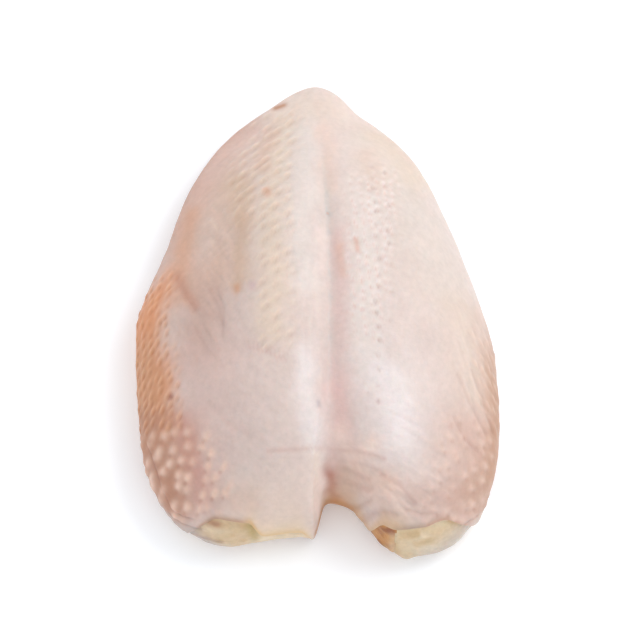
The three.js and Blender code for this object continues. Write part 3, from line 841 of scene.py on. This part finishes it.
def skinFaces(shape, innerShape, step):
    # the outer side, its rounded edge, and the coarser inner side, to whose border each of the
    # last ring's vertices joins at the nearest place
    count, innerCount = np.prod(shape), np.prod(innerShape)
    rings, last = ringsBelow(gridBorder(shape), count + innerCount, len(skin["edgeTurns"]))
    inner = gridQuads(innerShape, count)[:, ::-1]
    owner = np.roll(np.repeat(gridBorder(innerShape, count), step), -(step // 2))
    fans = np.stack([last, owner, np.roll(last, -1)], -1)
    turns = np.nonzero(owner != np.roll(owner, -1))[0]
    between = np.stack([owner, np.roll(owner, -1), np.roll(last, -1)], -1)[turns]
    return [gridQuads(shape), *rings, inner, fans, between]


def buildSkin(material):
    # the outer side is the carrying surface with its relief laid on along the normals, and the
    # inner side lies under it by the skin's thickness
    around, out = discPlace(*squareGrid(skin["cells"]))
    down = skinDown(around, out)
    points = surfaceAt(around, down)
    normals = normalsAt(around, down)
    relief, fields = skinRelief(around, down, points)
    outer = points + normals * (relief * (1 - ease(*skin["reliefEnds"], down)))[..., None]
    step, thick = skin["coarser"], skinThick(around, down)
    slack = furrowSlack(points[..., 0], points[..., 1]) * ease(*skin["slackEnds"], down)
    inner = (points - normals * (thick + slack)[..., None])[::step, ::step]
    border = gridBorder(outer.shape[:2])
    rings = roundedEdge(*(v.reshape(-1, 3)[border] for v in (points, outer, normals)),
                        thick.ravel()[border])
    tone = skinTone(points, down, edgeDistance(points, around), fields).reshape(-1, 3)
    innerTone = np.broadcast_to(linearColour(skin["innerTone"]), inner.reshape(-1, 3).shape)
    makePiece("breastSkin", np.concatenate([outer.reshape(-1, 3), inner.reshape(-1, 3), *rings]),
              skinFaces(outer.shape[:2], inner.shape[:2], step),
              np.concatenate([tone, innerTone, np.tile(tone[border], (len(rings), 1))]),
              material, ["skin"])


# moist raw chicken skin: light goes into it, so shading is soft, and a thin wet film gives a
# wide, faint gloss that pores and small wrinkles break up
buildSkin(wetMaterial("moistRawChickenSkin", mottle=(2.6, 0.955, 1.045), bumps=(1.1, 0.25, 0.35), depth=3,
                      film=(7, 0.38, 0.55), ior=1.4, radius=(1.0, 0.45, 0.3)))


# Flesh under the skin

flesh = dict(
    cells=(110, 124), rings=12,
    gap=0.7, bareFrom=0.968,   # between skin and flesh, and where the flesh comes out from under
    bed=dict(depth=2.4, top=35, fade=3, left=(-67, -61, -2.5, 2), right=(16, 20.5, 68, 73)),
    midSeam=dict(depth=3, spread=5, y=(-75, -63, 65, 77)),
    filletSeam=dict(depth=1.8, spread=3.5, tailX=7, neckX=30, fansY=(51, -67), y=(-75, -59, 37, 51)),
    grain=dict(angle=38, long=16, wide=2.0, high=9, height=0.35),
    lumps=((9, 0.3),), reliefEnds=(0.95, 1),
    underside=dict(level=0.25, grain=0.4, lumps=((11, 0.2),), ends=(0.94, 1)),
    tone="d9998c", pale=dict(tone="e6b9a8", grain=(0.1, 0.8)),
    deep=dict(tone="b9685c", amount=0.5, size=14, noise=(0.2, 0.9)),
)


def fleshDepth(points, down):
    # depth under the carrying surface: the layers above it, and the pads' bed at the neck end
    x, y, z = np.moveaxis(points, -1, 0)
    bed = flesh["bed"]
    across = np.maximum(plateau(bed["left"], x), plateau(bed["right"], x)) * (y <= form["neckEnd"][0])
    sunk = bed["depth"] * across * (1 - ease(bed["top"], bed["top"] + bed["fade"], z))
    layers = skin["thick"] + flesh["gap"] + sunk + furrowSlack(x, y)
    return layers * (1 - ease(flesh["bareFrom"], 1, down))


def undersideHeight(x, y):
    # a flat bed with a channel at each seam between the muscles
    mid, side = flesh["midSeam"], flesh["filletSeam"]
    away = np.abs(x - furrowLine(y))
    line = mix(side["tailX"], side["neckX"], ease(*side["fansY"], y))
    return np.maximum(mid["depth"] * bell(away, 0, mid["spread"]) * plateau(mid["y"], y),
                      side["depth"] * bell(away, line, side["spread"]) * plateau(side["y"], y))


def meatGrain(points, seed):
    # soft noise drawn out along the fibres, which fan out from the keel towards the tail
    grain = flesh["grain"]
    x, y, z = np.moveaxis(points, -1, 0)
    drawn = np.stack([*turned(y, np.abs(x - furrowLine(y)), grain["angle"]), z], -1)
    drawn = drawn / (grain["long"], grain["wide"], grain["high"])
    return softNoise(drawn, 1, seed)


def fleshUnderside(around, out):
    # the grid again, drawn flat over the table, with the seams' channels and fine fibres
    table, crown, under = surfaceAt(around, np.ones_like(around)), form["crown"], flesh["underside"]
    x = mix(crown["x"], table[..., 0], out)
    y = mix(crown["y"], table[..., 1], out)
    flat = np.stack([x, y, np.zeros_like(x)], -1)
    fibre = (under["level"] + under["grain"] * meatGrain(flat, seeds["underside"])
             + layeredNoise(flat, under["lumps"], seeds["undersideLumps"]))
    height = undersideHeight(x, y) + np.maximum(fibre, 0) * (1 - ease(*under["ends"], out))
    return np.stack([x, y, height], -1).reshape(-1, 3)


def fleshTone(points):
    # meat's own pink, paler along some fibres and deeper red in soft patches
    pale, deep = flesh["pale"], flesh["deep"]
    tone = np.broadcast_to(linearColour(flesh["tone"]), points.shape)
    tone = laidOver(tone, pale["tone"], ease(*pale["grain"], meatGrain(points, seeds["paleMeat"])))
    patch = ease(*deep["noise"], softNoise(points, deep["size"], seeds["deepMeat"]))
    return laidOver(tone, deep["tone"], deep["amount"] * patch)


def buildFlesh(material):
    # a grid under the skin, rings from the skin's tucked edge to the table, and the underside,
    # whose border is the last ring
    around, out = discPlace(*squareGrid(flesh["cells"]))
    border, count, rings = gridBorder(around.shape), around.size, flesh["rings"]
    ringDowns = mix(skin["tuckedAt"], 1, np.linspace(0, 1, rings + 1)[1:])
    allAround = np.concatenate([around.ravel(), np.tile(around.ravel()[border], rings)])
    allDown = np.concatenate([(out * skin["tuckedAt"]).ravel(), np.repeat(ringDowns, len(border))])
    base = surfaceAt(allAround, allDown)
    relief = (flesh["grain"]["height"] * meatGrain(base, seeds["meat"])
              + layeredNoise(base, flesh["lumps"], seeds["meatLumps"]))
    sunk = fleshDepth(base, allDown) - relief * (1 - ease(*flesh["reliefEnds"], allDown))
    points = base - normalsAt(allAround, allDown) * sunk[:, None]
    points[-len(border):, 2] = 0
    points[:, 2] = np.maximum(points[:, 2], 0)
    sides, last = ringsBelow(border, count, rings)
    inside = np.ones(count, bool)
    inside[border] = False
    underside = np.empty(count, int)   # the vertex at each place of the underside's grid
    underside[border] = last
    underside[inside] = len(points) + np.arange(inside.sum())
    faces = [gridQuads(around.shape), *sides, underside[gridQuads(around.shape)][:, ::-1]]
    points = np.concatenate([points, fleshUnderside(around, out)[inside]])
    makePiece("breastFlesh", points, faces, fleshTone(points), material, ["flesh"])


# raw muscle: fibres give fine light streaks, and its cut faces are wet
buildFlesh(wetMaterial("rawChickenMuscle", mottle=(3, 0.92, 1.07), bumps=(0.9, 0.3, 0.4), depth=3,
                       roughness=0.38))


# Fat pads and the scrap of dark tissue in the openings at the neck end: their range of x, how far
# they stand beyond the carrying surface, how far down they reach, their lumps by size and height,
# and bumps by place, width and height. A pad with ends fades into the next one over those x.
# Tones are the main, a paler and a deeper one.

pads = [
    dict(name="leftFatPad", seed=60, replaces="fat_left", slot="fat",
         x=(-66, -2.4), stand=-0.9, reach=0.925,
         lumps=((9, 0.45), (3.5, 0.3)), bumps=[], folds=cornerFolds,
         tones=("ccb290", "d9c6a9", "c0a179"),
         marks=[area("b5988a", 0.95, 4.5, (-60, -80, 16), (-51, -88, 21)),
                area("b7a9a2", 1, 5, (-60, -84, 12), (-50, -92, 13), (-42, -95.5, 9)),
                # painted shade along the two folds
                area("8f7266", 0.6, 1.2, *cornerFolds[0]["path"]),
                area("8f7266", 0.6, 1.2, *cornerFolds[1]["path"]),
                # painted shadow under the skin's cut edge
                area("9c6448", 0.8, 2.2, (-44.5, -91.2, 24.5), (-41, -92, 24.5)),
                area("a68f4f", 0.75, 2.4, (-27, -92.5, 25), (-25, -95, 14)),
                area("dfcbb0", 0.8, 6, (-20, -95, 12), (-8, -93, 10))]),
    dict(name="rightFatPad", seed=70, replaces="fat_right", slot="fat",
         x=(30.6, 71), ends=(30.6, 31.4, 76, 78), stand=-0.8, reach=0.93,
         lumps=((9, 0.45), (3.5, 0.3)), bumps=[((36, -101, 9), 3.5, 1.8)], folds=[],
         tones=("d0b896", "dac7a9", "c7ac85"),
         marks=[area("beb5aa", 0.9, 4, (34, -101, 5), (48, -100, 5)),
                area("c0b3a7", 0.9, 7.5, (47, -99, 9), (57, -94, 13), (67, -84, 12)),
                area("b8925f", 0.6, 2, (31, -98, 18), (32, -100, 8))]),
    dict(name="darkScrap", seed=80, replaces="dark_tissue", slot="dark_tissue",
         x=(19.8, 31.4), ends=(20.2, 21.4, 30.4, 31.3), stand=-0.3, reach=0.92,
         lumps=((5, 0.4), (2.2, 0.25)), bumps=[], folds=[],
         tones=("bb8244", "c99457", "99592f"),
         marks=[area("7d3a17", 0.9, 2.1, (22, -93, 20.5), (24.4, -94, 24), (28, -94.8, 26)),
                area("cdb08f", 0.7, 2.2, (31, -95.5, 23), (31, -98.5, 14), (28.5, -100.5, 7)),
                area("8f7a3c", 0.6, 1.8, (27, -98, 12), (25, -97, 10))]),
]
padForm = dict(
    cells=(140, 64), topAt=0.55, skinGap=0.25, fleshGap=1,
    edge=(-0.3, 0.7), lift=(1, 5),              # it comes out past the skin's edge and off the table
    pale=(7, (0, 0.8)), deep=(5, (0.1, 0.8)),   # size and range of the noise that lays those tones
    toneSeeds=5,                                # so far after the pad's own seed
    neckEnd=(0.35, 0.68), steps=700,            # the neck end's share of the way around
)


def aroundAtX(x):
    # share of the way around where the neck end's outline reaches that x
    shares = np.linspace(*padForm["neckEnd"], padForm["steps"])
    return np.interp(x, rimAround(shares)[..., 0], shares)


def buildPad(pad, material):
    # under the skin it keeps below it; past the skin's cut edge it swells out lumpily to meet
    # the edge, and it thins again towards the table
    seed = pad["seed"]
    a, b = squareGrid(padForm["cells"])
    around = mix(*(aroundAtX(x) for x in pad["x"]), (a + 1) / 2)
    down = mix(padForm["topAt"], pad["reach"], (1 - b) / 2)
    base = surfaceAt(around, down)
    normals = normalsAt(around, down)
    bare = ease(*padForm["edge"], pastEdge(base, around, down)) * ease(*padForm["lift"], base[..., 2])
    if "ends" in pad:
        bare = bare * plateau(pad["ends"], base[..., 0])
    lumps = layeredNoise(base, pad["lumps"], seed) + sum(creaseRelief(line, base) for line in pad["folds"])
    for place, width, height in pad["bumps"]:
        lumps = lumps + height * bell(lengthOf(base - place), 0, width)
    covered = -skinThick(around, down) - padForm["skinGap"]
    outer = base + normals * mix(covered, pad["stand"] + lumps, bare)[..., None]
    inner = base + normals * (padForm["fleshGap"] - skin["thick"] - flesh["gap"] - flesh["bed"]["depth"])
    shape, count = base.shape[:2], base[..., 0].size
    border = gridBorder(shape)
    faces = [gridQuads(shape), gridQuads(shape, count)[:, ::-1], ringQuads(border, border + count)]
    points = np.concatenate([outer.reshape(-1, 3), inner.reshape(-1, 3)])
    tone = padTone(pad, points, seed + padForm["toneSeeds"])
    makePiece(pad["name"], points, faces, tone, material, [pad["replaces"]])


def padTone(pad, points, seed):
    # the main tone, paler and deeper in soft patches, with the pad's marks over it (some are painted shade
    # and painted shadow), and painted shade in its folds
    main, *others = pad["tones"]
    tone = np.broadcast_to(linearColour(main), points.shape)
    for k, (colour, key) in enumerate(zip(others, ("pale", "deep"))):
        size, reach = padForm[key]
        tone = laidOver(tone, colour, ease(*reach, softNoise(points, size, seed + k)))
    for mark in pad["marks"]:
        tone = laidOver(tone, mark["colour"], mark["amount"] * pathShare(mark, points))
    return tone * creaseShade(pad["folds"], points)


# soft fat: faintly see-through, smeared, with a greasy sheen
fatMaterial = wetMaterial("softChickenFat", mottle=(2.2, 0.92, 1.07), bumps=(0.8, 0.3, 0.4), depth=3,
                          roughness=0.35)
# dark tissue: wet, deep red-brown, hardly see-through
scrapMaterial = wetMaterial("driedDarkTissue", mottle=(1.6, 0.92, 1.07), bumps=(0.7, 0.4, 0.4), depth=1,
                            roughness=0.42)
for pad in pads:
    buildPad(pad, scrapMaterial if pad["slot"] == "dark_tissue" else fatMaterial)


# Floor, lights, camera

stage = dict(
    # a milky sheet, a little lit from below, and just clear of the meat
    floorColour="f3f7fc", floorSize=6.0, floorDrop=0.3 * mm, floorRoughness=0.9, floorGlow=0.16,
    keyStrength=7.0, keySize=0.8, keyFrom=(0.75, 0.45, 1.0),
    worldStrength=0.95,
    aim=(1.0, -0.8, 15), elevation=72, distance=4.373, lens=600, clipEnd=20,
)


def buildStage():
    # the floor, an even white room and one soft light from the right and behind
    half = stage["floorSize"] / 2
    mesh = bpy.data.meshes.new("floor")
    corners = [(x * half, y * half, -stage["floorDrop"]) for x, y in ((-1, -1), (1, -1), (1, 1), (-1, 1))]
    mesh.from_pydata(corners, [], [range(4)])
    floor = bpy.data.objects.new("floor", mesh)
    bpy.context.scene.collection.objects.link(floor)
    material, tree = newMaterial("milkyAcrylicSheet")
    shader = addNode(tree, "ShaderNodeBsdfPrincipled", inputs={
        "Base Color": (*linearColour(stage["floorColour"]), 1), "Roughness": stage["floorRoughness"],
        "Emission Color": (1, 1, 1, 1), "Emission Strength": stage["floorGlow"]})
    addNode(tree, "ShaderNodeOutputMaterial", inputs={"Surface": shader.outputs["BSDF"]})
    mesh.materials.append(material)
    world = bpy.data.worlds.new("softboxRoom")
    bpy.context.scene.world = world
    world.use_nodes = True
    sky = world.node_tree.nodes["Background"].inputs
    sky["Color"].default_value = (1, 1, 1, 1)
    sky["Strength"].default_value = stage["worldStrength"]
    key = bpy.data.lights.new("keySoftbox", "AREA")
    key.energy, key.size = stage["keyStrength"], stage["keySize"]
    lamp = bpy.data.objects.new("keySoftbox", key)
    lamp.location = stage["keyFrom"]
    lamp.rotation_euler = Vector(stage["keyFrom"]).to_track_quat("Z", "Y").to_euler()
    bpy.context.scene.collection.objects.link(lamp)


def buildCamera():
    # a long lens from the neck end's side, high above it
    tilt = np.radians(stage["elevation"])
    aim = Vector(stage["aim"]) * mm
    back = Vector((0, -np.cos(tilt), np.sin(tilt)))
    lens = bpy.data.cameras.new("camera")
    lens.lens, lens.clip_end = stage["lens"], stage["clipEnd"]
    camera = bpy.data.objects.new("camera", lens)
    camera.location = aim + back * stage["distance"]
    camera.rotation_euler = back.to_track_quat("Z", "Y").to_euler()
    bpy.context.scene.collection.objects.link(camera)
    bpy.context.scene.camera = camera


buildStage()
buildCamera()
print("floor, lights and camera set")
bpy.context.scene.view_settings.view_transform = "Standard"
